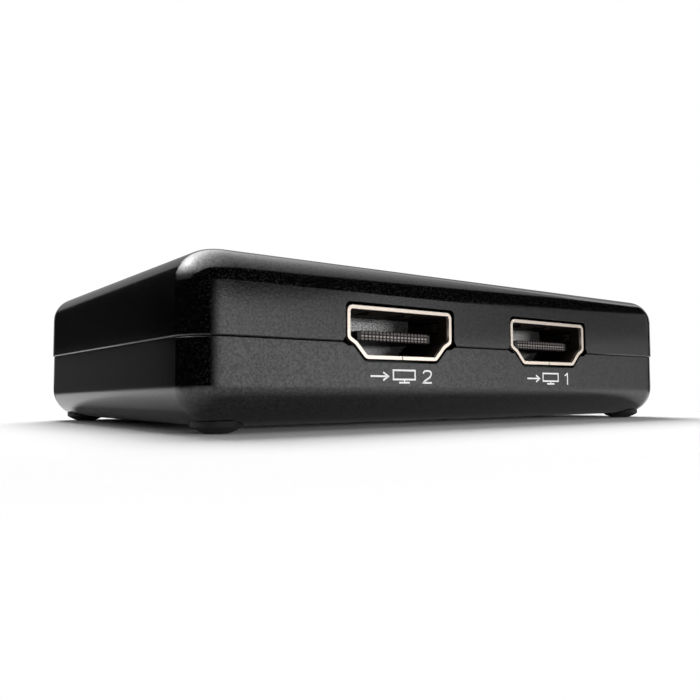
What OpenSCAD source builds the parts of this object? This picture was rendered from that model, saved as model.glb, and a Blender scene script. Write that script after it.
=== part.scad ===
// Compact video splitter: one input and two outputs in a two-piece moulded case on four rubber feet.
// Millimetres, +Z up. The outputs face -Y, and the origin is on the table under the middle of the case.

/* [Case] */
// Width of the case at the seam, left to right
case_w = 76.1; // [72:0.1:95]
// Depth of the case at the seam, outputs to input
case_d = 51.1; // [48:0.1:75]
// Height of the lower shell, from its underside to the seam
lower_h = 8.4; // [8:0.1:10]
// Height of the upper shell, from the seam to its top
upper_h = 8.4; // [8:0.1:11]
// Thickness of the case walls, floor and ceiling
wall = 1.8; // [1.5:0.1:2.2]
// Radius of the four upright corners, in plan
corner_r = 4.2; // [4.2:0.1:6]
// Radius of the edge round the top
top_edge_r = 3.3; // [2.6:0.1:3.6]
// Radius of the edge round the underside
bottom_edge_r = 3.9; // [2.6:0.1:3.9]
// How far the upper shell stands proud of the lower one at the seam
seam_step = 0.15; // [0:0.05:0.2]
// Bevel on both shells along the seam
seam_bevel = 0.1; // [0.1:0.05:0.3]
// Thickness of the locating lip on the lower shell
lip_t = 0.7; // [0.5:0.1:0.9]
// Height of the locating lip above the seam
lip_h = 1; // [0.6:0.1:1.4]
// Gap between the lip and the rabbet that it sits in
lip_gap = 0.1; // [0.05:0.05:0.2]

/* [Feet] */
// Diameter of a rubber foot
foot_d = 5; // [4:0.1:5.4]
// How far a foot stands out below the case
foot_h = 0.65; // [0.5:0.05:2]
// Depth of the pocket that a foot is glued into
foot_seat = 0.6; // [0.5:0.1:0.9]
// Diameter of the flat that a foot stands on
foot_flat_d = 2.2; // [1.5:0.1:3]
// Distance from the case walls to the middle of a foot
foot_inset = 4.5; // [4.3:0.1:5]
// Gap round a foot in its pocket
foot_gap = 0.1; // [0.05:0.05:0.2]

/* [Case screws] */
// Diameter of a screw's shank
screw_d = 2.6; // [2.2:0.1:3]
// Length of a screw under its head
screw_len = 10; // [8:0.5:11]
// Diameter of a screw's head
head_d = 4.6; // [4:0.1:5]
// Thickness of a screw's head
head_h = 1.6; // [1.4:0.1:1.8]
// Depth of a screw's head below the underside of the case
head_sunk = 0.5; // [0.3:0.1:0.8]
// Distance from the case walls to the middle of a screw
screw_inset = 9.8; // [9.5:0.1:11]
// Diameter of the lower shell's screw bosses
boss_d = 7.6; // [7:0.1:8.4]
// Diameter of the upper shell's screw posts
post_d = 6; // [5:0.1:7]
// Gap round a screw in the holes that it passes through
screw_gap = 0.3; // [0.2:0.05:0.4]
// Gap round a screw in the post that it bites into
thread_gap = 0.05; // [0.02:0.01:0.08]

/* [Circuit board] */
// Thickness of the circuit board
board_t = 1.6; // [1:0.1:1.8]
// Gap between the circuit board and the case walls
board_gap = 0.5; // [0.3:0.1:1]
// Gap round a leg in its slot in the board
slot_gap = 0.15; // [0.1:0.05:0.25]

/* [Video sockets] */
// Distance between the two outputs, centre to centre
output_pitch = 25; // [22:0.1:28]
// Sideways shift of the pair of outputs from the middle of the case
output_shift = -1.3; // [-3:0.1:3]
// Sideways place of the input, on the back
input_x = 11; // [4:0.5:15]
// Height of the middle of the sockets above the seam
socket_rise = 1.06; // [0.9:0.01:1.3]
// Depth of a socket's mouth behind the face of the case
socket_recess = 0.15; // [0.1:0.05:0.8]
// Gap round a socket in the case
socket_gap = 0.3; // [0.25:0.05:0.45]
// Radius of the upper corners of a socket's opening
opening_r = 0.6; // [0.3:0.1:0.8]
// Bevel on the lower corners of a socket's opening, at the seam
opening_flare = 0.4; // [0.2:0.1:0.6]
// Width of a socket's mouth, inside
mouth_w = 14; // [13.9:0.05:14.2]
// Height of a socket's mouth, inside
mouth_h = 4.75; // [4.5:0.05:4.8]
// Width of the narrow floor of the mouth, inside
mouth_floor_w = 9.6; // [9:0.1:10.4]
// Height of the mouth's upright sides, inside
mouth_side_h = 3.2; // [3:0.05:3.3]
// Thickness of a socket's sheet metal
sheet_t = 0.4; // [0.3:0.05:0.5]
// Length of a socket's metal shell
socket_len = 11.2; // [10.8:0.1:12]
// Depth of the cavity that a plug goes into
cavity_depth = 7; // [6.8:0.1:8.4]
// Width of the tongue
tongue_w = 10.3; // [10:0.1:10.8]
// Thickness of the tongue
tongue_t = 1; // [0.9:0.05:1.2]
// Depth of the tongue's nose behind the mouth
tongue_set = 1.3; // [0.8:0.1:2]
// Distance of the tongue below the middle of the mouth
tongue_drop = 0.27; // [0.1:0.01:0.4]
// Number of contacts in a socket
contact_count = 19; // [15:2:19]
// Distance between neighbouring contacts
contact_pitch = 0.5; // [0.48:0.01:0.54]
// Width of a contact
contact_w = 0.3; // [0.2:0.02:0.36]
// Thickness of a contact
contact_t = 0.2; // [0.15:0.01:0.25]
// How far a contact stands out of the tongue
contact_proud = 0.05; // [0.02:0.01:0.1]

/* [Power socket and lamp] */
// Sideways place of the power socket, on the back
power_x = -14; // [-15:0.5:-10]
// Width of the power socket's block
power_w = 6.8; // [6.6:0.1:8]
// Height of the power socket's block
power_h = 6.8; // [6.6:0.1:7.2]
// Length of the power socket's block, without its nose
power_len = 9.5; // [9:0.1:11]
// Diameter of the power socket's nose
nose_d = 5.6; // [5.4:0.1:6]
// Diameter of the hole that the power plug goes into
power_bore_d = 3.8; // [3.5:0.1:4]
// Depth of the hole that the power plug goes into
power_bore_len = 9; // [8.5:0.1:9.5]
// Diameter of the power socket's centre pin
power_pin_d = 1.3; // [1:0.05:1.4]
// Sideways place of the lamp, on the back
lamp_x = -21.5; // [-22:0.5:-20]
// Diameter of the lamp's light pipe
lamp_d = 2; // [1.6:0.1:2.2]
// Gap round the light pipe in the case
lamp_gap = 0.1; // [0.05:0.01:0.15]

/* [Hidden] */

$fn = 64;
// Reach of a cutting solid past the face that it opens
cut = 1;

// Heights, from the table up
under_z = foot_h;
floor_z = under_z + wall;
seam_z = under_z + lower_h;
ceiling_z = seam_z + upper_h - wall;
socket_z = seam_z + socket_rise;
shell_w = mouth_w + 2 * sheet_t;
shell_h = mouth_h + 2 * sheet_t;
board_top_z = socket_z - shell_h / 2;
board_z = board_top_z - board_t;

// Plan sizes
lower_w = case_w - 2 * seam_step;
lower_d = case_d - 2 * seam_step;
lower_corner_r = corner_r - seam_step;
inner_w = lower_w - 2 * wall;
inner_d = lower_d - 2 * wall;
inner_corner_r = lower_corner_r - wall;
board_w = inner_w - 2 * board_gap;
board_d = inner_d - 2 * board_gap;
board_corner_r = 1.5;
screw_x = case_w / 2 - screw_inset;
screw_y = case_d / 2 - screw_inset;
mouth_y = case_d / 2 - socket_recess;
output_1_x = output_shift + output_pitch / 2;
output_2_x = output_shift - output_pitch / 2;

// Screws: the head seats on a ledge in the boss, and the shank runs up into the post
head_seat_z = under_z + head_sunk + head_h;
screw_end_z = head_seat_z + screw_len;
screw_point_h = 1.5;
head_bevel = 0.3;
drive_w = 0.7;
drive_l = 2.6;
drive_depth = 0.9;

// Sheet metal of a socket: fold radius, legs, and the spring fingers that grip a plug
fold_r = 0.7;
leg_w = 1.6;
leg_front_y = 4;
leg_rear_y = 9.4;
leg_top_z = 0;
leg_proud = 0.9;
butt_seam = 0.1;
finger_w = 1;
finger_dip = 0.3;
finger_tip_lift = 0.2;
finger_tip_y = 2;
finger_bump_y = 2.6;
finger_knee_y = 5.2;
finger_root_y = 6.2;
finger_slot = 0.25;
top_finger_x = 2.55;
side_finger_z = 1.2;

// Contacts: strips along the tongue with their tips bent over its nose, and feet on the board behind it
contact_tip_y = tongue_set - contact_proud;
tail_y = socket_len + 0.5;
tail_foot = 0.9;
tail_end_y = tail_y + tail_foot;
tongue_bevel = 0.1;
insulator_gap = 0.03;

// Power socket, measured from the front of its nose
power_z = board_top_z + power_h / 2;
nose_len = seam_step + wall - socket_recess + 0.3;
power_end_y = nose_len + power_len;
power_pin_set = 0.8;
pin_gap = 0.03;
pin_tab_t = 0.4;
pin_tab_w = 1.8;
spring_w = 1.6;
spring_t = 0.3;
spring_slot = 0.15;
spring_start_y = 3.5;
spring_bump_y = 5.5;
spring_flat_y = 7;
spring_tail_y = 8;
spring_rise = 0.25;

// Lamp: a rod in the back wall, with a leg down to the emitter on the board
pipe_flange_d = lamp_d + 1.2;
pipe_flange_t = 0.6;
pipe_reach = 3.4;
pipe_leg_w = 1.4;
lamp_z = seam_z + lip_h + pipe_flange_d / 2 + 0.3;
emitter_l = 1.6;
emitter_w = 0.8;
emitter_h = 0.6;
emitter_gap = 0.1;
pipe_leg_y = case_d / 2 - seam_step - wall - pipe_flange_t - pipe_reach + pipe_leg_w / 2;

// Small parts on the board: sizes, and places from what each one stands beside
package_lift = 0.1;
package_draft = 0.12;
dimple_depth = 0.1;
lead_t = 0.15;
chip_x = output_shift;
chip_w = 10;
chip_h = 1.5;
chip_leads = 16;
chip_lead_pitch = 0.5;
chip_lead_w = 0.22;
chip_lead_reach = 1;
memory_size = [3.9, 4.9, 1.6];
memory_inset = 13.6;
memory_y = -2;
memory_lead_pitch = 1.27;
memory_lead_w = 0.42;
memory_lead_reach = 1.05;
buck_size = [1.6, 2.9, 1.15];
buck_inset = 15.1;
buck_y = 6.5;
buck_lead_pitch = 0.95;
buck_lead_w = 0.4;
buck_lead_reach = 0.6;
regulator_size = [3.5, 6.5, 1.7];
regulator_y = 4.5;
regulator_lead_pitch = 2.3;
regulator_lead_w = 0.7;
regulator_lead_reach = 1.7;
regulator_tab_w = 3;
crystal_size = [4, 10.4, 3.6];
crystal_reach = 13.2;
crystal_flange = 0.5;
crystal_flange_h = 0.7;
inductor_w = 5;
inductor_h = 2.8;
inductor_inset = 13.1;
inductor_y = 0.5;
drum_d = 3.9;
drum_gap = 0.25;
drum_floor = 0.6;
can_d = 5;
can_h = 5.4;
can_base_w = 5.3;
can_base_h = 0.7;
can_inset = 5.6;
can_pitch = 7;
can_y = -0.5;
groove_r = 0.35;
groove_z = 1.5;
passive_l = 1.6;
passive_w = 0.8;
passive_end_l = 0.3;
passive_end_t = 0.03;
ceramic_h = 0.8;
ceramic_reach = chip_w / 2 + 2.8;
ceramic_pitch = 2;
resistor_h = 0.45;
resistor_pitch = 2.5;
array_size = [2.5, 1, 0.5];
array_y = mouth_y - tail_end_y - 1.4;
resistor_y = array_y - 2.1;

// Unit vector along v
function unit(v) = v / norm(v);

// Outward normal of the edge from a to b of an outline that runs anticlockwise
function outward(a, b) = let (d = unit(b - a)) [d.y, -d.x];

// Neighbour of point i in a closed outline
function around(points, i) = points[(i + len(points)) % len(points)];

// Closed outline moved outward by g, with mitred corners
function grown(points, g) = [
    for (i = [0 : len(points) - 1])
        let (n1 = outward(around(points, i - 1), points[i]), n2 = outward(points[i], around(points, i + 1)))
            points[i] + g * (n1 + n2) / (1 + n1 * n2)
];

// Closed outline with each corner i rounded to radii[i], in arcs of fold_steps chords
fold_steps = 6;
function folded(points, radii) = [
    for (i = [0 : len(points) - 1])
        let (
            u = unit(around(points, i - 1) - points[i]),
            v = unit(around(points, i + 1) - points[i]),
            half = acos(u * v) / 2,
            middle = points[i] + unit(u + v) * radii[i] / sin(half),
            from = unit(points[i] + u * radii[i] / tan(half) - middle),
            to = unit(points[i] + v * radii[i] / tan(half) - middle)
        )
            for (k = [0 : fold_steps])
                middle + radii[i] * unit(from + (to - from) * k / fold_steps)
];

// Outline of a socket's sheet metal, moved outward by g from its outer face
function sheet_outline(g) =
    let (
        side = shell_w / 2,
        top = shell_h / 2,
        side_end = top - sheet_t - mouth_side_h + 0.1,
        shoulder = [side - 1.02, side_end - 0.6],
        floor_end = mouth_floor_w / 2 + 0.2,
        right = [[floor_end, -top], shoulder, [side, side_end], [side, top]],
        left = [for (i = [3 : -1 : 0]) [-right[i].x, right[i].y]],
        bends = [1, -1, 1, 1]
    )
        folded(
            grown(concat(right, left), g),
            [for (b = concat(bends, [for (i = [3 : -1 : 0]) bends[i]])) fold_r + b * g]
        );

// Quarter of a disc
module quarter_disc(r) {
    intersection() {
        circle(r);
        square(r);
    }
}

// Rectangle with round corners
module rounded_rect(w, d, r) {
    square([w - 2 * r, d], center = true);
    square([w, d - 2 * r], center = true);
    for (x = [-1, 1], y = [-1, 1])
        translate([x * (w / 2 - r), y * (d / 2 - r)]) circle(r);
}

// Rectangle with half-round ends
module oval(w, d) {
    square([w, d - w], center = true);
    for (y = [-1, 1])
        translate([0, y * (d - w) / 2]) circle(d = w);
}

// Copies at the four corners of a rectangle
module at_corners(x, y) {
    for (i = [-1, 1], j = [-1, 1])
        translate([i * x, j * y, 0]) children();
}

// Side outline of a moulded block, from its middle out to a wall with a bevelled foot and a round top
module wall_outline(half, h, edge, bevel) {
    middle = [half - edge, h - edge];
    foot = bevel > 0 ? [[half - bevel, 0], [half, bevel]] : [[half, 0]];
    polygon(concat([[0, h], [0, 0]], foot, [[half, middle.y], middle, [middle.x, h]]));
    translate(middle) quarter_disc(edge);
}

// Block with upright round corners, a round edge at its top and a bevel at its foot
module moulded_block(w, d, h, corner, edge, bevel) {
    for (turn = [0, 180]) {
        rotate([90, 0, turn])
            linear_extrude(d - 2 * corner, center = true) wall_outline(w / 2, h, edge, bevel);
        rotate([90, 0, turn + 90])
            linear_extrude(w - 2 * corner, center = true) wall_outline(d / 2, h, edge, bevel);
    }
    for (turn = [0 : 90 : 270])
        let (x = [1, -1, -1, 1][turn / 90], y = [1, 1, -1, -1][turn / 90])
            translate([x * (w / 2 - corner), y * (d / 2 - corner), 0])
                rotate([0, 0, turn])
                    rotate_extrude(angle = 90) wall_outline(corner, h, edge, bevel);
}

// Hollow half of the case, open at the seam
module case_half(w, d, h, corner, edge) {
    difference() {
        moulded_block(w, d, h, corner, edge, seam_bevel);
        translate([0, 0, -cut])
            moulded_block(inner_w, inner_d, h - wall + cut, inner_corner_r, edge - wall, 0);
    }
}

// Frame round the cavity, of thickness t
module rim(t, h) {
    linear_extrude(h)
        difference() {
            rounded_rect(inner_w + 2 * t, inner_d + 2 * t, inner_corner_r + t);
            rounded_rect(inner_w, inner_d, inner_corner_r);
        }
}

// Upright outline, pushed along +Y from y0 to y1
module along_y(y0, y1) {
    translate([0, y1, 0]) rotate([90, 0, 0]) linear_extrude(y1 - y0) children();
}

// Side outline of depth and height, pushed along X, centred
module along_x(w) {
    rotate([90, 0, 90]) linear_extrude(w, center = true) children();
}

// Places of the sockets: the mouth at the origin, and +Y into the case
module at_output_1() { translate([output_1_x, -mouth_y, socket_z]) children(); }
module at_output_2() { translate([output_2_x, -mouth_y, socket_z]) children(); }
module at_input() { rotate([0, 0, 180]) translate([-input_x, -mouth_y, socket_z]) children(); }
module at_sockets() {
    at_output_1() children();
    at_output_2() children();
    at_input() children();
}
module at_power() { rotate([0, 0, 180]) translate([-power_x, -mouth_y, power_z]) children(); }

// Outline of a socket's opening near the seam: upright sides, round upper corners and bevelled lower ones
function opening_outline() =
    let (
        side = shell_w / 2 + socket_gap,
        top = shell_h / 2 + socket_gap,
        flare = opening_flare,
        right = [
            [side - flare, -socket_rise - flare],
            [side + flare, -socket_rise],
            [side, 1.5 * flare - socket_rise],
            [side, top]
        ],
        left = [for (i = [3 : -1 : 0]) [-right[i].x, right[i].y]],
        radii = [flare / 2, flare / 4, flare, opening_r]
    )
        folded(concat(right, left), concat(radii, [for (i = [3 : -1 : 0]) radii[i]]));

// What the sockets, the power socket and the light pipe take out of the case.
// The upper shell drops straight over them, so above the seam each opening has upright sides.
module case_openings() {
    y0 = -socket_recess - cut;
    y1 = seam_step + wall - socket_recess + cut / 4;
    nose_side = nose_d / 2 + socket_gap;
    at_sockets()
        along_y(y0, y1) {
            polygon(sheet_outline(socket_gap));
            polygon(opening_outline());
        }
    at_power()
        along_y(y0, y1) {
            circle(nose_side);
            translate([-nose_side, seam_z - power_z]) square([2 * nose_side, power_z - seam_z]);
        }
    translate([lamp_x, case_d / 2 - seam_step - wall - cut, lamp_z])
        along_y(0, seam_step + wall + 2 * cut) circle(d = lamp_d + 2 * lamp_gap);
}

module lower_shell() {
    color("#1d1d1f")
        difference() {
            union() {
                translate([0, 0, seam_z]) mirror([0, 0, 1])
                    case_half(lower_w, lower_d, lower_h, lower_corner_r, bottom_edge_r);
                translate([0, 0, seam_z - lip_h]) rim(lip_t, 2 * lip_h);
                at_corners(screw_x, screw_y)
                    translate([0, 0, floor_z - wall / 2])
                        cylinder(d = boss_d, h = board_z - floor_z + wall / 2);
            }
            case_openings();
            at_corners(screw_x, screw_y) {
                translate([0, 0, under_z - cut])
                    cylinder(d = head_d + 2 * screw_gap, h = head_seat_z - under_z + cut);
                cylinder(d = screw_d + 2 * screw_gap, h = board_z + cut);
            }
            at_corners(case_w / 2 - foot_inset, case_d / 2 - foot_inset)
                cylinder(d = foot_d + 2 * foot_gap, h = under_z + foot_seat);
        }
}

module upper_shell() {
    color("#1a1a1c")
        difference() {
            union() {
                translate([0, 0, seam_z]) case_half(case_w, case_d, upper_h, corner_r, top_edge_r);
                at_corners(screw_x, screw_y)
                    translate([0, 0, board_top_z])
                        cylinder(d = post_d, h = ceiling_z - board_top_z + wall / 2);
            }
            case_openings();
            translate([0, 0, seam_z - cut]) rim(lip_t + lip_gap, lip_h + lip_gap + cut);
            at_corners(screw_x, screw_y)
                cylinder(d = screw_d + 2 * thread_gap, h = screw_end_z + screw_gap);
        }
}

module case_screws() {
    color("#8a8a8d")
        at_corners(screw_x, screw_y)
            difference() {
                union() {
                    translate([0, 0, head_seat_z - head_h])
                        cylinder(d1 = head_d - 2 * head_bevel, d2 = head_d, h = head_bevel);
                    translate([0, 0, head_seat_z - head_h + head_bevel])
                        cylinder(d = head_d, h = head_h - head_bevel);
                    translate([0, 0, head_seat_z]) cylinder(d = screw_d, h = screw_len - screw_point_h);
                    translate([0, 0, screw_end_z - screw_point_h])
                        cylinder(d1 = screw_d, d2 = screw_d / 4, h = screw_point_h);
                }
                for (turn = [0, 90])
                    rotate([0, 0, turn])
                        translate([-drive_l / 2, -drive_w / 2, head_seat_z - head_h - cut])
                            cube([drive_l, drive_w, drive_depth + cut]);
            }
}

// Rubber foot: a plug in its pocket and a dome below, cut flat where it stands
module foot(i, j) {
    plug_r = foot_d / 2;
    flat_r = foot_flat_d / 2;
    middle_z = (plug_r ^ 2 - flat_r ^ 2 + foot_h ^ 2) / (2 * foot_h);
    dome_r = sqrt(flat_r ^ 2 + middle_z ^ 2);
    color("#141414")
        translate([i * (case_w / 2 - foot_inset), j * (case_d / 2 - foot_inset), 0]) {
            intersection() {
                translate([0, 0, middle_z]) sphere(dome_r);
                cylinder(r = dome_r, h = foot_h);
            }
            translate([0, 0, foot_h]) cylinder(r = plug_r, h = foot_seat);
        }
}
module foot_front_left() { foot(-1, -1); }
module foot_front_right() { foot(1, -1); }
module foot_rear_left() { foot(-1, 1); }
module foot_rear_right() { foot(1, 1); }

module circuit_board() {
    leg_x = (shell_w - sheet_t) / 2;
    color("#1f5b3a")
        difference() {
            translate([0, 0, board_z])
                linear_extrude(board_t) rounded_rect(board_w, board_d, board_corner_r);
            at_corners(screw_x, screw_y) cylinder(d = screw_d + 2 * screw_gap, h = board_top_z + cut);
            at_sockets()
                for (i = [-1, 1], y = [leg_front_y, leg_rear_y])
                    translate([i * leg_x, y, -shell_h / 2 - board_t / 2])
                        cube([sheet_t + 2 * slot_gap, leg_w + 2 * slot_gap, board_t + cut], center = true);
            at_power() {
                translate([0, power_end_y + pin_tab_t / 2, -(power_h + board_t) / 2])
                    cube([pin_tab_w + 2 * slot_gap, pin_tab_t + 2 * slot_gap, board_t + cut], center = true);
                translate([0, spring_tail_y + spring_t / 2, -(power_h + board_t) / 2])
                    cube([spring_w + 2 * slot_gap, spring_t + 2 * slot_gap, board_t + cut], center = true);
            }
        }
}

// Side outline of a spring finger that grips a plug, as depth and distance from the wall's inner face
module finger_outline() {
    polygon([
        [finger_root_y + finger_slot, 0],
        [finger_root_y + finger_slot, sheet_t],
        [finger_knee_y, sheet_t],
        [finger_bump_y, sheet_t - finger_dip],
        [finger_tip_y, sheet_t - finger_dip + finger_tip_lift],
        [finger_tip_y, finger_tip_lift - finger_dip],
        [finger_bump_y, -finger_dip],
        [finger_knee_y, 0]
    ]);
}

// Window that a finger is cut out of
module finger_window() {
    window_l = finger_root_y - finger_tip_y + finger_slot;
    translate([-finger_w / 2 - finger_slot, finger_tip_y - finger_slot, -cut / 4])
        cube([finger_w + 2 * finger_slot, window_l, sheet_t + cut / 2]);
}

// Places of the fingers: two in the roof and one in each side
module at_fingers() {
    for (x = [-top_finger_x, top_finger_x])
        translate([x, 0, mouth_h / 2]) children();
    for (turn = [-1, 1])
        translate([turn * mouth_w / 2, 0, side_finger_z]) rotate([0, turn * 90, 0]) children();
}

// Metal shell of a socket, folded from sheet, with its butt seam in the floor
module socket_shell() {
    leg_x = (shell_w - sheet_t) / 2;
    leg_end_z = -shell_h / 2 - board_t - leg_proud;
    color("#e6cbb2") {
        difference() {
            union() {
                along_y(0, socket_len)
                    difference() {
                        polygon(sheet_outline(0));
                        polygon(sheet_outline(-sheet_t));
                    }
                for (i = [-1, 1], y = [leg_front_y, leg_rear_y])
                    translate([i * leg_x - sheet_t / 2, y - leg_w / 2, leg_end_z])
                        cube([sheet_t, leg_w, leg_top_z - leg_end_z]);
            }
            translate([-butt_seam / 2, -cut, -shell_h / 2 - cut])
                cube([butt_seam, socket_len + 2 * cut, sheet_t + 2 * cut]);
            at_fingers() finger_window();
        }
        at_fingers() along_x(finger_w) finger_outline();
    }
}

// Row of contacts: odd ones on top of the tongue, even ones under it, each with its tip over the nose
module at_contacts() {
    side = tongue_t / 2 + contact_proud;
    for (i = [0 : contact_count - 1])
        let (
            $tip_z = -side - tongue_drop,
            $tip_h = 2 * side,
            $strip_z = $tip_z + (i % 2 == 0 ? $tip_h - contact_t : 0)
        )
            translate([(i - (contact_count - 1) / 2) * contact_pitch, 0, 0]) children();
}

// Side outline of a contact's strip and tip, back to end_y
module contact_outline(end_y) {
    translate([contact_tip_y, $strip_z]) square([end_y - contact_tip_y, contact_t]);
    translate([contact_tip_y, $tip_z]) square([contact_t, $tip_h]);
}

// Plastic core of a socket: a block that fills the back of the shell, and the tongue
module socket_insulator() {
    color("#26262a")
        difference() {
            union() {
                along_y(cavity_depth, socket_len) polygon(sheet_outline(-sheet_t - insulator_gap));
                translate([0, 0, -tongue_drop])
                    along_x(tongue_w)
                        polygon([
                            [tongue_set, tongue_bevel - tongue_t / 2],
                            [tongue_set + tongue_bevel, -tongue_t / 2],
                            [cavity_depth + cut, -tongue_t / 2],
                            [cavity_depth + cut, tongue_t / 2],
                            [tongue_set + tongue_bevel, tongue_t / 2],
                            [tongue_set, tongue_t / 2 - tongue_bevel]
                        ]);
            }
            at_contacts() along_x(contact_w) contact_outline(socket_len + cut);
        }
}

// Contacts of a socket
module socket_contacts() {
    foot_z = -shell_h / 2;
    color("#d8b25a")
        at_contacts()
            along_x(contact_w) {
                contact_outline(tail_y);
                translate([tail_y - contact_t, foot_z]) square([contact_t, $strip_z - foot_z + contact_t]);
                translate([tail_y - contact_t, foot_z]) square([tail_foot + contact_t, contact_t]);
            }
}
module output_1_shell() { at_output_1() socket_shell(); }
module output_1_insulator() { at_output_1() socket_insulator(); }
module output_1_contacts() { at_output_1() socket_contacts(); }
module output_2_shell() { at_output_2() socket_shell(); }
module output_2_insulator() { at_output_2() socket_insulator(); }
module output_2_contacts() { at_output_2() socket_contacts(); }
module input_shell() { at_input() socket_shell(); }
module input_insulator() { at_input() socket_insulator(); }
module input_contacts() { at_input() socket_contacts(); }

// Block of the power socket, with a round nose in the back wall of the case
module power_socket_block() {
    slot_y = spring_start_y - spring_slot;
    color("#232326")
        at_power()
            difference() {
                union() {
                    along_y(0, nose_len) circle(d = nose_d);
                    translate([-power_w / 2, nose_len, -power_h / 2]) cube([power_w, power_len, power_h]);
                }
                along_y(-cut, power_bore_len) circle(d = power_bore_d);
                along_y(0, power_end_y + cut) circle(d = power_pin_d + 2 * pin_gap);
                translate([-spring_w / 2 - spring_slot, slot_y, -power_h / 2 - cut])
                    cube([spring_w + 2 * spring_slot, power_bore_len - slot_y, power_h / 2 + cut]);
            }
}

// Centre pin, riveted to a tab at the back of the block
module power_socket_pin() {
    tip = power_pin_d / 4;
    tab_end_z = -power_h / 2 - board_t - leg_proud;
    color("#c9c9cc")
        at_power() {
            translate([0, power_pin_set, 0])
                rotate([-90, 0, 0]) cylinder(d1 = power_pin_d - 2 * tip, d2 = power_pin_d, h = tip);
            along_y(power_pin_set + tip, power_end_y + pin_tab_t) circle(d = power_pin_d);
            translate([-pin_tab_w / 2, power_end_y, tab_end_z])
                cube([pin_tab_w, pin_tab_t, power_pin_d - tab_end_z]);
        }
}

// Leaf that bears on the outside of a power plug, and its leg
module power_socket_spring() {
    low_z = -power_bore_d / 2 - spring_t;
    leg_end_z = -power_h / 2 - board_t - leg_proud;
    color("#d9d2c0")
        at_power()
            along_x(spring_w)
                polygon([
                    [spring_start_y, low_z],
                    [spring_bump_y, low_z + spring_rise],
                    [spring_flat_y, low_z],
                    [spring_tail_y, low_z],
                    [spring_tail_y, leg_end_z],
                    [spring_tail_y + spring_t, leg_end_z],
                    [spring_tail_y + spring_t, low_z + spring_t],
                    [spring_flat_y, low_z + spring_t],
                    [spring_bump_y, low_z + spring_rise + spring_t],
                    [spring_start_y, low_z + spring_t]
                ]);
}

// Clear rod through the back wall, with a flange inside it and a leg down to the emitter
module light_pipe() {
    leg_z = board_top_z + emitter_h + emitter_gap;
    flange_y = case_d / 2 - seam_step - wall - pipe_flange_t;
    color("#dfe6ea")
        translate([lamp_x, 0, 0]) {
            translate([0, 0, lamp_z]) {
                along_y(flange_y - pipe_reach, case_d / 2) circle(d = lamp_d);
                along_y(flange_y, flange_y + pipe_flange_t) circle(d = pipe_flange_d);
            }
            translate([-pipe_leg_w / 2, pipe_leg_y - pipe_leg_w / 2, leg_z])
                cube([pipe_leg_w, pipe_leg_w, lamp_z - leg_z]);
        }
}

module lamp_emitter() {
    color("#e9e4cf")
        translate([lamp_x, pipe_leg_y, board_top_z + emitter_h / 2])
            cube([emitter_l, emitter_w, emitter_h], center = true);
}

// Row of gull-wing leads along a package side that faces +X
module lead_row(side_x, count, pitch, lead_w, reach, knee_z) {
    for (i = [0 : count - 1])
        translate([side_x, (i - (count - 1) / 2) * pitch, 0])
            rotate([0, 0, -90])
                along_x(lead_w)
                    polygon([
                        [-lead_t, knee_z],
                        [reach / 3, knee_z],
                        [reach / 2, 0],
                        [reach, 0],
                        [reach, lead_t],
                        [reach / 2 + lead_t, lead_t],
                        [reach / 3 + lead_t, knee_z + lead_t],
                        [-lead_t, knee_z + lead_t]
                    ]);
}

// Moulded package: a body with a waist where the leads leave it, and a dimple by the first lead
module package_body(size, lift) {
    w = size.x;
    d = size.y;
    h = size.z;
    waist_z = lift + (h - lift) / 2;
    dimple_d = min(w, d) / 8;
    difference() {
        union() {
            translate([0, 0, waist_z]) mirror([0, 0, 1]) leaning_block(w, d, waist_z - lift, package_draft);
            translate([0, 0, waist_z]) leaning_block(w, d, h - waist_z, package_draft);
        }
        translate([1.5 * dimple_d - w / 2, d / 2 - 1.5 * dimple_d, h - dimple_depth])
            cylinder(d = dimple_d, h = cut);
    }
}

// Block that draws in by lean on each side as it rises
module leaning_block(w, d, h, lean) {
    intersection() {
        rotate([90, 0, 0])
            linear_extrude(d, center = true)
                polygon([[-w / 2, 0], [w / 2, 0], [w / 2 - lean, h], [lean - w / 2, h]]);
        rotate([90, 0, 90])
            linear_extrude(w, center = true)
                polygon([[-d / 2, 0], [d / 2, 0], [d / 2 - lean, h], [lean - d / 2, h]]);
    }
}

// Package with a row of leads on two sides
module small_package(size, count, pitch, lead_w, reach) {
    package_body(size, package_lift);
    for (turn = [0, 180])
        rotate([0, 0, turn]) lead_row(size.x / 2, count, pitch, lead_w, reach, size.z / 2);
}

// Places of the parts on the board
module on_board(x, y) { translate([x, y, board_top_z]) children(); }

module splitter_chip() {
    side = chip_w / 2;
    color("#202022")
        on_board(chip_x, 0) {
            package_body([chip_w, chip_w, chip_h], package_lift);
            for (turn = [0 : 90 : 270])
                rotate([0, 0, turn])
                    lead_row(side, chip_leads, chip_lead_pitch, chip_lead_w, chip_lead_reach, chip_h / 2);
        }
}

module memory_chip() {
    color("#232325")
        on_board(board_w / 2 - memory_inset, memory_y)
            small_package(memory_size, 4, memory_lead_pitch, memory_lead_w, memory_lead_reach);
}

module buck_converter() {
    color("#232325")
        on_board(buck_inset - board_w / 2, buck_y)
            small_package(buck_size, 3, buck_lead_pitch, buck_lead_w, buck_lead_reach);
}

// Regulator with three leads on one side and a broad tab on the other
module linear_regulator() {
    side = regulator_size.x / 2;
    knee_z = regulator_size.z / 2;
    color("#232325")
        on_board(power_x + 1, regulator_y) {
            package_body(regulator_size, package_lift);
            lead_row(side, 3, regulator_lead_pitch, regulator_lead_w, regulator_lead_reach, knee_z);
            rotate([0, 0, 180]) lead_row(side, 1, 0, regulator_tab_w, regulator_lead_reach, knee_z);
        }
}

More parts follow.
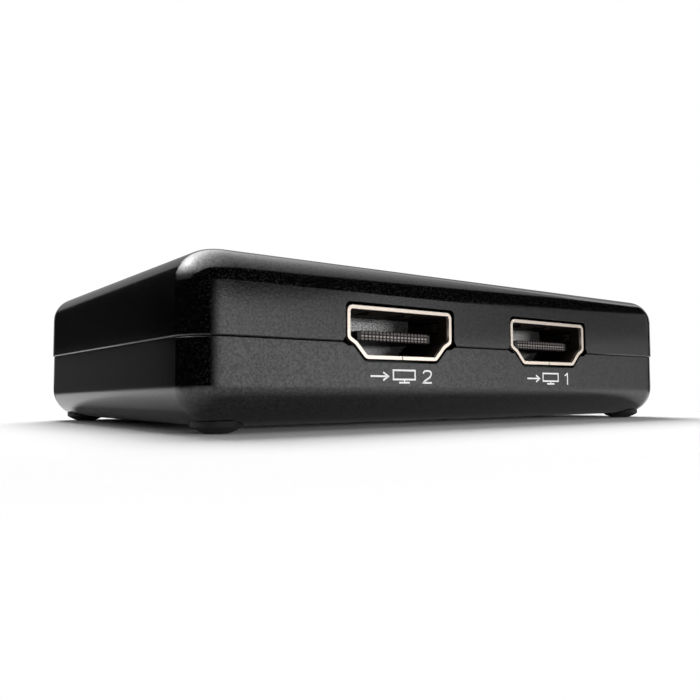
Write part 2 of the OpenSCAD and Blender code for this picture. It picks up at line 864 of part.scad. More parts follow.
// Quartz crystal: a drawn oval can on a flanged base
module crystal() {
    w = crystal_size.x;
    d = crystal_size.y;
    color("#bfc1c4")
        on_board(chip_x + crystal_reach, 0) {
            linear_extrude(crystal_flange_h) oval(w + 2 * crystal_flange, d + 2 * crystal_flange);
            linear_extrude(crystal_size.z) oval(w, d);
        }
}

// Shielded inductor: a square ferrite frame round a drum
module power_inductor() {
    color("#4a4a4c")
        on_board(inductor_inset - board_w / 2, inductor_y) {
            difference() {
                linear_extrude(inductor_h) rounded_rect(inductor_w, inductor_w, inductor_w / 6);
                translate([0, 0, drum_floor]) cylinder(d = drum_d + 2 * drum_gap, h = inductor_h);
            }
            cylinder(d = drum_d, h = inductor_h - drum_gap);
        }
}

// Electrolytic cans, each on a square base, with a crimp groove
module filter_capacitors() {
    color("#c6c8cb")
        for (i = [-1, 1])
            on_board(can_inset - board_w / 2, can_y + i * can_pitch / 2) {
                linear_extrude(can_base_h) rounded_rect(can_base_w, can_base_w, can_base_w / 6);
                difference() {
                    cylinder(d = can_d, h = can_h);
                    translate([0, 0, groove_z])
                        rotate_extrude() translate([can_d / 2 + groove_r / 3, 0]) circle(groove_r);
                }
            }
}

// Block with metal ends, one case size for all the small passives
module small_passive(h) {
    end_x = passive_l / 2;
    body = [passive_l - passive_end_l, passive_w - 2 * passive_end_t, h - 2 * passive_end_t];
    translate([-body.x / 2, -body.y / 2, passive_end_t]) cube(body);
    for (x = [-end_x, end_x - passive_end_l])
        translate([x, -passive_w / 2, 0]) cube([passive_end_l, passive_w, h]);
}

module ceramic_capacitors() {
    color("#b59a72")
        for (x = [-ceramic_reach, ceramic_reach], i = [-2 : 2])
            on_board(chip_x + x, i * ceramic_pitch) rotate([0, 0, 90]) small_passive(ceramic_h);
}

module resistors() {
    color("#2b2b2d")
        for (side = [-1, 1], i = [-1.5 : 1.5])
            on_board(chip_x + i * resistor_pitch, side * resistor_y)
                rotate([0, 0, 90]) small_passive(resistor_h);
}

// Surge protection beside the feet of each socket's contacts
module surge_arrays() {
    color("#2a2a2c") {
        for (x = [output_1_x, output_2_x], i = [-1, 1])
            on_board(x + i * array_size.x, -array_y) package_body(array_size, 0);
        for (i = [-1, 1])
            on_board(input_x + i * array_size.x, array_y) package_body(array_size, 0);
    }
}

lower_shell();
upper_shell();
case_screws();
foot_front_left();
foot_front_right();
foot_rear_left();
foot_rear_right();
circuit_board();
output_1_shell();
output_1_insulator();
output_1_contacts();
output_2_shell();
output_2_insulator();
output_2_contacts();
input_shell();
input_insulator();
input_contacts();
power_socket_block();
power_socket_pin();
power_socket_spring();
light_pipe();
lamp_emitter();
splitter_chip();
memory_chip();
crystal();
buck_converter();
power_inductor();
linear_regulator();
filter_capacitors();
ceramic_capacitors();
resistors();
surge_arrays();
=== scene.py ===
# Compact video splitter: one input and two outputs in a black two-part case on four rubber feet.
# Metres, +Z up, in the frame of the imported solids: outputs face -Y, origin on the table under the case.
import math

import bmesh
import bpy
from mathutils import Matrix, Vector


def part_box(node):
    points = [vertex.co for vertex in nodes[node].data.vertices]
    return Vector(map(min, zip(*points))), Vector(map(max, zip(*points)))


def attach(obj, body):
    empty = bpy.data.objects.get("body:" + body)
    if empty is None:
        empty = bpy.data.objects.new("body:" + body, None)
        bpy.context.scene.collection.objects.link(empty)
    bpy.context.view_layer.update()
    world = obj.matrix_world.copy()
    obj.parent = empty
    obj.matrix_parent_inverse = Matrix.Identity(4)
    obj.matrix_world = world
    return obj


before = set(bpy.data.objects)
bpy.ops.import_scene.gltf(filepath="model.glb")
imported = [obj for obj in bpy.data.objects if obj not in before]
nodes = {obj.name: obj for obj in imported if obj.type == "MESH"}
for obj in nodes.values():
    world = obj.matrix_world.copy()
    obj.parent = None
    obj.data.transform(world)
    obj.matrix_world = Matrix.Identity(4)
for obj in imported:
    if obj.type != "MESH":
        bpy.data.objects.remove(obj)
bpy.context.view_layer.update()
MM = 0.001


# Case: two shells of black polystyrene, injection moulded in a spark-eroded tool that leaves a fine grain and
# a slightly mottled gloss. The upper shell drops over a lip on the lower one, and four screws from below hold
# them together.
CASE_BLACK = (0.0005, 0.0005, 0.0005, 1)
CASE_GREY = (0.0150, 0.0150, 0.0152, 1)
GRAIN = 0.16 * MM
GRAIN_DEPTH = 0.004 * MM
MOTTLE = 0.22 * MM
FLOW = 18 * MM
EDGE_BREAK = 0.10 * MM


def add(material, kind, inputs=None, **settings):
    """New shader node. An input is a plain value, or an output socket of another node to link from."""
    node = material.node_tree.nodes.new(kind)
    for name, value in settings.items():
        setattr(node, name, value)
    for socket, value in (inputs or {}).items():
        if isinstance(value, bpy.types.NodeSocket):
            material.node_tree.links.new(value, node.inputs[socket])
        else:
            node.inputs[socket].default_value = value
    return node


def finish(name, **inputs):
    """New material with one surface shader, and the point that its patterns are measured from."""
    material = bpy.data.materials.new(name)
    material.use_nodes = True
    material.node_tree.nodes.clear()
    sockets = {key.replace("_", " "): value for key, value in inputs.items()}
    shader = add(material, "ShaderNodeBsdfPrincipled", sockets)
    add(material, "ShaderNodeOutputMaterial", {"Surface": shader.outputs[0]})
    point = add(material, "ShaderNodeTexCoord").outputs["Object"]
    return material, shader, point


def noise(material, point, size, detail=2.0, roughness=0.5):
    """Noise whose grains are about the given size across."""
    inputs = {"Vector": point, "Scale": 1 / size, "Detail": detail, "Roughness": roughness}
    return add(material, "ShaderNodeTexNoise", inputs).outputs["Fac"]


def ramp(material, value, low, high, start, end):
    """Value stretched from low..high to start..end, and held there."""
    inputs = {"Value": value, "From Min": low, "From Max": high, "To Min": start, "To Max": end}
    return add(material, "ShaderNodeMapRange", inputs, interpolation_type="SMOOTHSTEP").outputs[0]


def blend(material, factor, first, second):
    """Colour between first and second."""
    mix = add(material, "ShaderNodeMix", {"Factor": factor, "A": first, "B": second}, data_type="RGBA")
    return mix.outputs["Result"]


def link(material, output, shader, socket):
    """Feeds one socket of the surface shader."""
    material.node_tree.links.new(output, shader.inputs[socket])


def relief(material, shader, height, depth, strength=1.0, broken_edge=None):
    """Bumps of the given depth, on edges that are broken by a small radius."""
    inputs = {"Height": height, "Distance": depth, "Strength": strength}
    if broken_edge:
        inputs["Normal"] = add(material, "ShaderNodeBevel", {"Radius": broken_edge}, samples=4).outputs[0]
    link(material, add(material, "ShaderNodeBump", inputs).outputs[0], shader, "Normal")


def dress(material, *names):
    """Gives CAD nodes their finish."""
    for name in names:
        nodes[name].data.materials.clear()
        nodes[name].data.materials.append(material)


def case_plastic():
    material, shader, point = finish("case_plastic", IOR=1.6)
    grain = noise(material, point, GRAIN, 1)
    mottle = noise(material, point, MOTTLE, 2)
    flow = noise(material, point, FLOW, 1)
    flecks = ramp(material, grain, 0.50, 0.74, 0, 1)
    link(material, blend(material, flecks, CASE_BLACK, CASE_GREY), shader, "Base Color")
    link(material, ramp(material, flow, 0.2, 0.8, 0.09, 0.12), shader, "Roughness")
    link(material, ramp(material, mottle, 0.3, 0.7, 0.38, 0.62), shader, "Specular IOR Level")
    relief(material, shader, grain, GRAIN_DEPTH, 0.5, EDGE_BREAK)
    return material


dress(case_plastic(), "lower_shell", "upper_shell")


# Feet: four low domes of black rubber, each with a flat to stand on. They are moulded, and glued into round
# pockets in the underside of the lower shell.
RUBBER_BLACK = (0.004, 0.004, 0.004, 1)
RUBBER_DUSTY = (0.014, 0.0135, 0.013, 1)
DUST = 0.5 * MM
DUST_DEPTH = 0.02 * MM


def foot_rubber():
    material, shader, point = finish("foot_rubber", IOR=1.5)
    dust = noise(material, point, DUST, 4, 0.6)
    dusty = ramp(material, dust, 0.45, 0.7, 0, 1)
    link(material, blend(material, dusty, RUBBER_BLACK, RUBBER_DUSTY), shader, "Base Color")
    link(material, ramp(material, dust, 0.3, 0.7, 0.5, 0.7), shader, "Roughness")
    relief(material, shader, dust, DUST_DEPTH, 0.4, EDGE_BREAK)
    return material


dress(foot_rubber(), *[f"foot_{end}_{side}" for end in ("front", "rear") for side in ("left", "right")])


# Case screws: zinc plated steel, cold headed with a cross drive. One near each corner goes up from below,
# through the lower shell and the board, into a post of the upper shell.
ZINC = (0.55, 0.56, 0.58, 1)
ZINC_DULL = (0.30, 0.30, 0.31, 1)
BLOOM = 0.6 * MM
BLOOM_DEPTH = 0.01 * MM


def screw_steel():
    material, shader, point = finish("screw_steel", Metallic=1.0)
    bloom = noise(material, point, BLOOM, 4, 0.6)
    link(material, blend(material, bloom, ZINC, ZINC_DULL), shader, "Base Color")
    link(material, ramp(material, bloom, 0.3, 0.7, 0.28, 0.5), shader, "Roughness")
    relief(material, shader, bloom, BLOOM_DEPTH, 0.4, 0.5 * EDGE_BREAK)
    return material


dress(screw_steel(), "case_screws")


# Circuit board: woven glass and epoxy with etched copper tracks under green solder mask, cut to shape and
# drilled. The bosses of the lower shell and the posts of the upper one clamp it.
MASK_GREEN = (0.003, 0.017, 0.008, 1)
MASK_OVER_COPPER = (0.008, 0.036, 0.015, 1)
TRACK_PITCH = 0.8 * MM
TRACK_DEPTH = 0.03 * MM
WEAVE = 0.3 * MM
BLACK = (0, 0, 0, 1)
WHITE = (1, 1, 1, 1)


def board_laminate():
    material, shader, point = finish("board_laminate", IOR=1.5)
    lanes = add(material, "ShaderNodeTexBrick",
                {"Vector": point, "Scale": 1 / TRACK_PITCH, "Color1": BLACK, "Color2": BLACK, "Mortar": WHITE,
                 "Mortar Size": 0.12, "Brick Width": 9.0, "Row Height": 1.0})
    tracks = lanes.outputs["Fac"]
    weave = noise(material, point, WEAVE)
    link(material, blend(material, tracks, MASK_GREEN, MASK_OVER_COPPER), shader, "Base Color")
    link(material, ramp(material, weave, 0.3, 0.7, 0.25, 0.4), shader, "Roughness")
    relief(material, shader, tracks, TRACK_DEPTH, 0.6)
    return material


dress(board_laminate(), "circuit_board")


# Video sockets: each is a shell folded from thin sheet metal with a warm bright plating, a butt seam in its
# floor and spring fingers in its roof and sides. Inside is a dark moulded core, with plated contacts along
# its tongue.
SOCKETS = ("output_1", "output_2", "input")
SHEET_PLATING = (0.97, 0.85, 0.745, 1)
# Painted shade: between these two depths behind the mouth the sheet colour turns dark, as the socket's inside
# is in shade.
SHEET_PAINTED_SHADE = (0.035, 0.026, 0.022, 1)
SHEET_EDGE = 0.08 * MM
PAINTED_SHADE_FROM = 0.50 * MM
PAINTED_SHADE_TO = 0.18 * MM
PLATING_DEPTH = 0.004 * MM
ROLLING_LINES = 0.12 * MM
ROLLING_STRETCH = (1, 0.15, 1)
CORE_BLACK = (0.012, 0.012, 0.0125, 1)
# Painted light: flecks deeper than CORE_WALL behind the mouth, on the back wall, are made far paler than those
# on the tongue.
WALL_FLECK_PAINTED_LIT = (0.50, 0.495, 0.49, 1)
TONGUE_FLECK = (0.024, 0.023, 0.022, 1)
CORE_WALL = 6.4 * MM
CORE_WALL_BLUR = 0.3 * MM
FIBRE = 0.16 * MM
FIBRE_DEPTH = 0.02 * MM
CONTACT_ROSE = (1.0, 0.90, 0.87)
# Painted highlights and painted shade: bright bands below the contacts' top, dull plating between them and
# further down.
CONTACT_PAINTED_SHADE = 0.03
CONTACT_WIPE = 0.1 * MM
TIP_HEIGHT = 1.1 * MM
TIP_BLUR = 0.07
TIP_PAINTED_HIGHLIGHTS = [(0.10, 0.25, 0.17), (0.46, 0.55, 0.48), (0.74, 0.82, 0.28)]


def calc(material, operation, *values):
    """Number worked out from others."""
    return add(material, "ShaderNodeMath", dict(enumerate(values)), operation=operation).outputs[0]


def coordinate(material, point, axis):
    """How far along X, Y or Z a point lies."""
    return add(material, "ShaderNodeSeparateXYZ", {"Vector": point}).outputs[axis]


def behind_mouth(material, point, start, end, first, second):
    """Value that goes from first to second between two depths behind the mouths of the sockets."""
    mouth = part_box("input_shell")[1].y
    from_middle = calc(material, "ABSOLUTE", coordinate(material, point, "Y"))
    return ramp(material, from_middle, mouth - start, mouth - end, first, second)


def socket_plate():
    """Bright plating round the mouth, with painted shade that darkens the sheet deeper inside."""
    material, shader, point = finish("socket_plate", Metallic=0.9)
    rolled = add(material, "ShaderNodeMapping", {"Vector": point, "Scale": ROLLING_STRETCH}).outputs[0]
    lines = noise(material, rolled, ROLLING_LINES, 3)
    # Painted shade: the sheet colour goes from plating to dark deeper inside the mouth.
    unshaded_mouth = behind_mouth(material, point, PAINTED_SHADE_FROM, PAINTED_SHADE_TO, 0, 1)
    rougher_inside = ramp(material, unshaded_mouth, 0, 1, 0.6, 0)
    matt = calc(material, "ADD", ramp(material, lines, 0.3, 0.7, 0.14, 0.26), rougher_inside)
    link(material, blend(material, unshaded_mouth, SHEET_PAINTED_SHADE, SHEET_PLATING), shader, "Base Color")
    link(material, matt, shader, "Roughness")
    relief(material, shader, lines, PLATING_DEPTH, 0.5, SHEET_EDGE)
    return material


def socket_core():
    """Black resin with glass fibre flecks, painted pale on the back wall as painted light and dark on the
    tongue.
    """
    material, shader, point = finish("socket_core", IOR=1.5)
    fibre = noise(material, point, FIBRE, 2)
    painted_lit_wall = behind_mouth(material, point, CORE_WALL, CORE_WALL - CORE_WALL_BLUR, 1, 0)
    # Painted light: the back wall gets the pale flecks and the tongue the dark ones.
    fleck = blend(material, painted_lit_wall, TONGUE_FLECK, WALL_FLECK_PAINTED_LIT)
    flecks = ramp(material, fibre, 0.33, 0.62, 0, 1)
    link(material, blend(material, flecks, CORE_BLACK, fleck), shader, "Base Color")
    link(material, ramp(material, fibre, 0.3, 0.7, 0.6, 0.4), shader, "Roughness")
    relief(material, shader, fibre, FIBRE_DEPTH, 0.6)
    return material


def rose(shade):
    """Colour of the contacts' plating at a brightness from painted shade to painted highlight."""
    return (*[shade * part for part in CONTACT_ROSE], 1)


def contact_plate():
    """Plating with painted highlights in three bands below its top, across the nose, and painted shade between
    and below them.
    """
    material, shader, point = finish("contact_plate", Metallic=1.0)
    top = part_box("input_contacts")[1].z
    height = coordinate(material, point, "Z")
    below = calc(material, "MULTIPLY_ADD", height, -1 / TIP_HEIGHT, top / TIP_HEIGHT)
    # Painted highlights in bands down the contacts, with painted shade between them and below.
    painted_bands = add(material, "ShaderNodeValToRGB", {"Fac": below})
    stops = painted_bands.color_ramp.elements
    stops.remove(stops[1])
    stops[0].color = rose(CONTACT_PAINTED_SHADE)
    for start, end, shade in TIP_PAINTED_HIGHLIGHTS:
        stops.new(start - TIP_BLUR).color = rose(CONTACT_PAINTED_SHADE)
        stops.new(start).color = rose(shade)
        stops.new(end).color = rose(shade)
        stops.new(end + TIP_BLUR).color = rose(CONTACT_PAINTED_SHADE)
    wipe = noise(material, point, CONTACT_WIPE, 3)
    link(material, painted_bands.outputs["Color"], shader, "Base Color")
    link(material, ramp(material, wipe, 0.3, 0.7, 0.3, 0.5), shader, "Roughness")
    relief(material, shader, wipe, PLATING_DEPTH, 0.4)
    return material


dress(socket_plate(), *[f"{socket}_shell" for socket in SOCKETS])
dress(socket_core(), *[f"{socket}_insulator" for socket in SOCKETS])
dress(contact_plate(), *[f"{socket}_contacts" for socket in SOCKETS])


# Marks: white ink, pad printed on the front wall of the lower shell under each output. Each mark is an arrow
# into a screen, with the output's number beside it. Its lines are drawn in millimetres.
INK_WHITE = (0.80, 0.80, 0.80, 1)
INK_THIN = (0.52, 0.52, 0.53, 1)
INK_COVER = 0.12 * MM
INK_DEPTH = 0.004 * MM
INK_LIFT = 0.012 * MM
MARK_DROP = 1.78 * MM
STROKE = 0.19
MITRE_LIMIT = 0.4
ARROW_AND_SCREEN = [
    [(-4.45, 0.0), (-2.25, 0.0)],
    [(-2.75, 0.42), (-2.05, 0.0), (-2.75, -0.42)],
    [(-1.35, -0.32), (1.75, -0.32), (1.75, 0.66), (-1.35, 0.66), (-1.35, -0.32)],
    [(0.20, -0.42), (0.20, -0.57)],
    [(-0.55, -0.66), (0.95, -0.66)],
]
NUMBERS = {
    "output_1": [[(3.15, 0.42), (3.70, 0.70), (3.70, -0.76)]],
    "output_2": [[(2.95, 0.34), (3.02, 0.52), (3.20, 0.63), (3.55, 0.66), (3.90, 0.63), (4.08, 0.52),
                  (4.15, 0.34), (4.08, 0.12), (3.90, -0.08), (3.25, -0.42), (3.02, -0.58), (2.95, -0.66),
                  (4.22, -0.66)]],
}


def stroke(maker, line):
    """Flat band of ink along a line of points, with mitred bends. A closed line ends where it starts."""
    points = [Vector(p) for p in line]
    closed = points[0] == points[-1]
    steps = [(b - a).normalized() for a, b in zip(points, points[1:])]
    sides = []
    for i, point in enumerate(points):
        before = steps[i - 1] if i or closed else steps[0]
        after = steps[i % len(steps)] if i < len(steps) or closed else steps[-1]
        along = (before + after).normalized()
        across = Vector((-along.y, along.x)) * STROKE / 2 / max(along.dot(before), MITRE_LIMIT)
        sides.append([maker.verts.new((p.x * MM, 0, p.y * MM)) for p in (point - across, point + across)])
    for (a, b), (c, d) in zip(sides, sides[1:]):
        maker.faces.new((a, c, d, b))


def ink_white():
    material, shader, point = finish("mark_ink", IOR=1.5)
    cover = noise(material, point, INK_COVER, 3)
    thin = ramp(material, cover, 0.5, 0.75, 0, 1)
    link(material, blend(material, thin, INK_WHITE, INK_THIN), shader, "Base Color")
    link(material, ramp(material, cover, 0.3, 0.7, 0.4, 0.6), shader, "Roughness")
    relief(material, shader, cover, INK_DEPTH, 0.4)
    return material


ink = ink_white()
wall_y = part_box("lower_shell")[0].y
for socket, number in NUMBERS.items():
    maker = bmesh.new()
    for line in ARROW_AND_SCREEN + number:
        stroke(maker, line)
    low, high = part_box(f"{socket}_contacts")
    middle = ((low.x + high.x) / 2, wall_y - INK_LIFT, low.z - MARK_DROP)
    bmesh.ops.translate(maker, verts=maker.verts, vec=middle)
    mesh = bpy.data.meshes.new(f"{socket}_mark")
    maker.to_mesh(mesh)
    maker.free()
    mesh.materials.append(ink)
    piece = bpy.data.objects.new(f"{socket}_mark", mesh)
    bpy.context.scene.collection.objects.link(piece)
    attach(piece, "root")


# Power socket: a moulded nylon block with a round nose, a turned and plated centre pin riveted to its tab,
# and a stamped leaf that bears on the plug. The block stands on the board, behind the back wall.
NYLON_BLACK = (0.012, 0.012, 0.013, 1)
NYLON_PALE = (0.030, 0.030, 0.031, 1)
NYLON_GRAIN = 0.2 * MM
NYLON_DEPTH = 0.01 * MM
NICKEL = (0.66, 0.64, 0.60, 1)
TURNING = 0.15 * MM


def power_plastic():
    material, shader, point = finish("power_plastic", IOR=1.53)
    grain = noise(material, point, NYLON_GRAIN, 3)
    pale = ramp(material, grain, 0.5, 0.8, 0, 1)
    link(material, blend(material, pale, NYLON_BLACK, NYLON_PALE), shader, "Base Color")
    link(material, ramp(material, grain, 0.3, 0.7, 0.35, 0.5), shader, "Roughness")
    relief(material, shader, grain, NYLON_DEPTH, 0.5, EDGE_BREAK)
    return material


def power_plate():
    material, shader, point = finish("power_plate", Metallic=1.0, Base_Color=NICKEL)
    turned = noise(material, point, TURNING, 3)
    link(material, ramp(material, turned, 0.3, 0.7, 0.15, 0.3), shader, "Roughness")
    relief(material, shader, turned, PLATING_DEPTH, 0.5, 0.5 * EDGE_BREAK)
    return material


dress(power_plastic(), "power_socket_block")
dress(power_plate(), "power_socket_pin", "power_socket_spring")


# Lamp: a light pipe of clear moulded acrylic that sits in the back wall, with its flange inside. It carries
# out the light of a small emitter that is soldered to the board.
ACRYLIC = (0.93, 0.96, 0.97, 1)
PHOSPHOR = (0.80, 0.72, 0.35, 1)
EMITTER_CASE = (0.75, 0.74, 0.70, 1)
HAZE = 0.4 * MM
HAZE_DEPTH = 0.01 * MM
CLOUD = 0.3 * MM


def pipe_acrylic():
    material, shader, point = finish("pipe_plastic", Base_Color=ACRYLIC, IOR=1.49, Transmission_Weight=1.0)
    haze = noise(material, point, HAZE, 3)
    link(material, ramp(material, haze, 0.3, 0.7, 0.08, 0.2), shader, "Roughness")
    relief(material, shader, haze, HAZE_DEPTH, 0.4, EDGE_BREAK)
    return material


def emitter_resin():
    material, shader, point = finish("emitter_resin", IOR=1.5)
    cloud = noise(material, point, CLOUD, 3)
    pale = ramp(material, cloud, 0.4, 0.6, 0, 1)
    link(material, blend(material, pale, PHOSPHOR, EMITTER_CASE), shader, "Base Color")
    link(material, ramp(material, cloud, 0.3, 0.7, 0.25, 0.45), shader, "Roughness")
    return material


dress(pipe_acrylic(), "light_pipe")
dress(emitter_resin(), "lamp_emitter")


# Parts on the board: resin packages, a crystal in a drawn can, a ferrite inductor, electrolytic cans and
# small ceramic and film parts, all soldered to pads.
PART_MOTTLE = 0.25 * MM
PART_DEPTH = 0.01 * MM
PARTS = {
    "chip_resin": ((0.016, 0.016, 0.017, 1), (0.040, 0.040, 0.041, 1), 0.0, 0.55,
                   ("splitter_chip", "memory_chip", "buck_converter", "linear_regulator", "surge_arrays")),
    "crystal_can": ((0.60, 0.60, 0.61, 1), (0.42, 0.42, 0.43, 1), 1.0, 0.25, ("crystal",)),
    "ferrite": ((0.055, 0.055, 0.057, 1), (0.11, 0.11, 0.11, 1), 0.0, 0.6, ("power_inductor",)),
    "capacitor_can": ((0.66, 0.67, 0.69, 1), (0.48, 0.48, 0.50, 1), 1.0, 0.3, ("filter_capacitors",)),
    "capacitor_body": ((0.40, 0.29, 0.18, 1), (0.30, 0.21, 0.13, 1), 0.0, 0.4, ("ceramic_capacitors",)),
    "resistor_body": ((0.018, 0.018, 0.020, 1), (0.035, 0.035, 0.037, 1), 0.0, 0.35, ("resistors",)),
}


def board_part(name, first, second, metallic, roughness):
    material, shader, point = finish(name, Metallic=metallic)
    mottle = noise(material, point, PART_MOTTLE, 3)
    link(material, blend(material, mottle, first, second), shader, "Base Color")
    link(material, ramp(material, mottle, 0.3, 0.7, roughness - 0.08, roughness + 0.1), shader, "Roughness")
    relief(material, shader, mottle, PART_DEPTH, 0.5, 0.5 * EDGE_BREAK)
    return material


for name, (first, second, metallic, roughness, members) in PARTS.items():
    dress(board_part(name, first, second, metallic, roughness), *members)


# Table: a matt white sheet under the case that shows its shadow. Away from the case it fades into the white of
# the surroundings.
FLOOR_WHITE = (0.96, 0.96, 0.96, 1)
FLOOR_REACH = 0.3
FADE_FROM = 12 * MM
FADE_TO = 45 * MM


def measure(material, operation, *vectors):
    """Outputs of a sum on one or two vectors."""
    return add(material, "ShaderNodeVectorMath", dict(enumerate(vectors)), operation=operation).outputs


def floor_white():
    material, shader, point = finish("floor_white", Base_Color=FLOOR_WHITE, Roughness=1.0,
                                     Specular_IOR_Level=0.0)
    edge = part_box("lower_shell")[1]
    outside = measure(material, "ABSOLUTE", point)["Vector"]
    outside = measure(material, "SUBTRACT", outside, (edge.x, edge.y, 0))["Vector"]
    outside = measure(material, "MAXIMUM", outside, (0, 0, 0))["Vector"]
    away = measure(material, "LENGTH", outside)["Value"]
    gone = ramp(material, away, FADE_FROM, FADE_TO, 0, 1)
    clear = add(material, "ShaderNodeBsdfTransparent").outputs[0]
    surface = add(material, "ShaderNodeMixShader", {0: gone, 1: shader.outputs[0], 2: clear})
    output = next(n for n in material.node_tree.nodes if n.type == "OUTPUT_MATERIAL")
    material.node_tree.links.new(surface.outputs[0], output.inputs["Surface"])
    return material


def sheet(name, corners, material, faces=((0, 1, 2, 3),)):
    """Flat four-cornered sheet, or a band of them."""
    mesh = bpy.data.meshes.new(name)
    mesh.from_pydata([tuple(c) for c in corners], [], faces)
    mesh.materials.append(material)
    obj = bpy.data.objects.new(name, mesh)
    bpy.context.scene.collection.objects.link(obj)
    return obj


floor_corners = [(x * FLOOR_REACH, y * FLOOR_REACH, 0) for x, y in ((-1, -1), (1, -1), (1, 1), (-1, 1))]
sheet("floor", floor_corners, floor_white())


# Light: a softbox above and behind, a low one in front that reaches into the sockets, and a white room. The
# glossy case mirrors the sheets that stand round it: a white band in front, a bright card overhead, grey ones
# behind and dark curtains elsewhere. Their points are right of the view, along it, and up.
ROOM_LIGHT = 0.24
SOFTBOXES = {
    "softbox_behind": ((0.09, 0.29, 0.47), (0, 0, 0), (0.36, 0.36), 3.6),
    "softbox_front": ((0.30, -0.52, 0.04), (0, 0, 0.01), (0.30, 0.06), 3.2),
}
YAW = 0.6399
BAND_RADIUS = 0.40
BAND_ANGLES = range(-44, 77, 4)
BAND_FULL = -12
BAND_BRIGHTEST = -20
BAND_RISE_FROM = 31
BANDS = {
    "band_low": (-0.06, 0.036, 0, 1.65, 0.40, 0.35, 0.57),
    "band_high": (0.036, 0.066, 0.003, 1.75, 0.30, 0.25, 0.50),
}
OVER_HEIGHT = 0.5
OVER_EDGE = [
    (-2.20, -0.70), (-1.26, -0.85), (-0.50, -0.69), (-0.21, -0.53), (0.17, -0.44), (0.38, -0.28),
    (0.48, -0.06), (0.50, 0.52), (-0.50, 0.56), (-0.85, 0.58), (-1.20, 0.62), (-2.10, 0.66),
]
OVER_HOT = (-0.50, 0.06)
OVER_BRIGHT = 14.0
OVER_FADE = 0.035
BEHIND_EDGE = [(-1.25, 1.30), (1.00, 1.30)]
BEHIND_FOOT = -0.3
BEHIND_TOP = 0.9
BEHIND_BRIGHT = 0.33
STRIP_EDGE = [(-0.52, 0.73, -0.003), (-0.785, 0.421, 0.079)]
STRIP_FOOT = -0.1
STRIP_BRIGHT = 0.085
CURTAINS = {
    "curtain_front": (-0.3, 0.5, 0.003, [(-3.20, 2.00), *OVER_EDGE[:7], (0.50, 0.45)]),
    "curtain_left": (0.0, 1.3, 0.014, [(-0.90, 0.93), (-3.20, 2.00), (-3.20, -1.20)]),
}


def surroundings():
    """Room that is white to the eye, in gloss and through clear plastic, and lights the case more dimly."""
    world = bpy.data.worlds.new("surroundings")
    world.use_nodes = True
    world.node_tree.nodes.clear()
    white = add(world, "ShaderNodeBackground", {"Color": WHITE, "Strength": 1.0}).outputs[0]
    fill = add(world, "ShaderNodeBackground", {"Color": WHITE, "Strength": ROOM_LIGHT}).outputs[0]
    rays = add(world, "ShaderNodeLightPath").outputs
    seen = calc(world, "MAXIMUM", rays["Is Camera Ray"], rays["Is Glossy Ray"])
    seen = calc(world, "MAXIMUM", seen, rays["Is Transmission Ray"])
    room = add(world, "ShaderNodeMixShader", {0: seen, 1: fill, 2: white}).outputs[0]
    add(world, "ShaderNodeOutputWorld", {"Surface": room})
    bpy.context.scene.world = world


def softbox(name, place, aim, size, power):
    """Lamp that lights the case but doesn't show in it."""
    lamp = bpy.data.lights.new(name, "AREA")
    lamp.shape = "RECTANGLE"
    lamp.size, lamp.size_y = size
    lamp.energy = power
    obj = bpy.data.objects.new(name, lamp)
    obj.location = place
    obj.rotation_euler = (Vector(aim) - Vector(place)).to_track_quat("-Z", "Y").to_euler()
    obj.visible_camera = obj.visible_glossy = False
    bpy.context.scene.collection.objects.link(obj)


def glow(name, strength):
    """White light of a strength that is a plain number, or worked out from the point on the sheet."""
    material, shader, point = finish(name, Base_Color=BLACK, Specular_IOR_Level=0.0, Emission_Color=WHITE)
    if callable(strength):
        link(material, strength(material, point), shader, "Emission Strength")
    else:
        shader.inputs["Emission Strength"].default_value = strength
    return material


def mirrored(name, corners, strength, faces):
    """Glowing sheet that only the reflections show."""
    obj = sheet(name, corners, glow(name, strength), faces)
    obj.visible_camera = obj.visible_diffuse = obj.visible_transmission = obj.visible_shadow = False


def standing(name, line, foot, strength):
    """Glowing sheet that stands upright along a line of points on its top edge."""
    corners = [(x, y, z) for x, y, top in line for z in (foot, top)]
    mirrored(name, corners, strength, [(i, i + 2, i + 3, i + 1) for i in range(0, len(corners) - 2, 2)])


def along_view(right, ahead, z):
    """Point from the distances to the right of the view and along it."""
    return (right * math.cos(YAW) + ahead * math.sin(YAW), ahead * math.cos(YAW) - right * math.sin(YAW), z)


def round_front(degrees, z):
    """Point on a band, at an angle from straight ahead of the front to its right."""
    angle = math.radians(degrees)
    return (BAND_RADIUS * math.sin(angle), -BAND_RADIUS * math.cos(angle), z)


def distance(material, point, centre):
    """How far a point lies from the centre."""
    return measure(material, "DISTANCE", point, centre)["Value"]


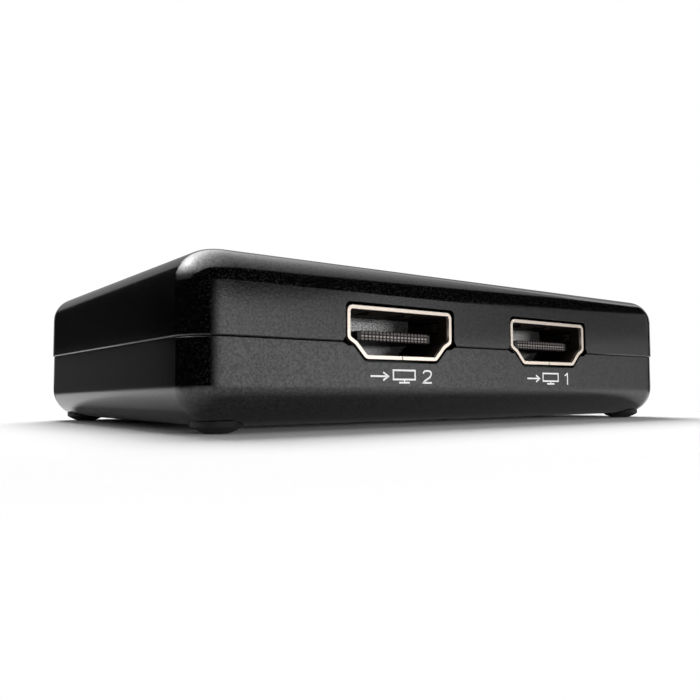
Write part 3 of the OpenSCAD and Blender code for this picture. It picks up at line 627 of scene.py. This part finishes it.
def faded(material, point, strength):
    """Strength that dies away at the left end of a band."""
    start = round_front(BAND_ANGLES[0], 0)[0]
    full = round_front(BAND_FULL, 0)[0]
    end = ramp(material, coordinate(material, point, "X"), start, full, 0, 1)
    return calc(material, "MULTIPLY", end, strength)


def over_strength(material, point):
    """Strength that falls away from the hottest point of the card overhead."""
    away = distance(material, point, along_view(*OVER_HOT, OVER_HEIGHT))
    return calc(material, "MULTIPLY", calc(material, "POWER", OVER_FADE, away), OVER_BRIGHT)


surroundings()
for name, (place, aim, size, power) in SOFTBOXES.items():
    softbox(name, place, aim, size, power)
for name, (low, high, rise, bright, dim, near, far) in BANDS.items():
    centre = round_front(BAND_BRIGHTEST, low)
    line = [round_front(d, high + rise * max(d - BAND_RISE_FROM, 0)) for d in BAND_ANGLES]
    standing(name, line, low,
             lambda m, p: faded(m, p, ramp(m, distance(m, p, centre), near, far, bright, dim)))
card_corners = [along_view(right, ahead, OVER_HEIGHT) for right, ahead in OVER_EDGE]
mirrored("card_over", card_corners, over_strength, [range(len(OVER_EDGE))])
behind = [along_view(right, ahead, BEHIND_TOP) for right, ahead in BEHIND_EDGE]
standing("sheet_behind", behind, BEHIND_FOOT, BEHIND_BRIGHT)
standing("strip_behind", [along_view(*corner) for corner in STRIP_EDGE], STRIP_FOOT, STRIP_BRIGHT)
for name, (low, high, bright, points) in CURTAINS.items():
    standing(name, [along_view(right, ahead, high) for right, ahead in points], low, bright)


# Camera: a wide lens, close in front of the left corner and low on the table. It stands where the outline of
# the case, its seam, its feet and its sockets fall as in the photograph.
EYE = Vector((-63.38, -82.45, 3.86)) * MM
PITCH = 0.0606
ROLL = 0.0030
FOCAL_PIXELS = 699.7
IMAGE_PIXELS = 700
SENSOR = 36.0
NEAREST = 1 * MM

lens = bpy.data.cameras.new("camera")
lens.sensor_width = SENSOR
lens.lens = SENSOR * FOCAL_PIXELS / IMAGE_PIXELS
lens.clip_start = NEAREST
camera = bpy.data.objects.new("camera", lens)
camera.location = EYE
camera.rotation_euler = (math.pi / 2 + PITCH, ROLL, -YAW)
bpy.context.scene.collection.objects.link(camera)
bpy.context.scene.camera = camera
bpy.context.scene.view_settings.view_transform = "Standard"
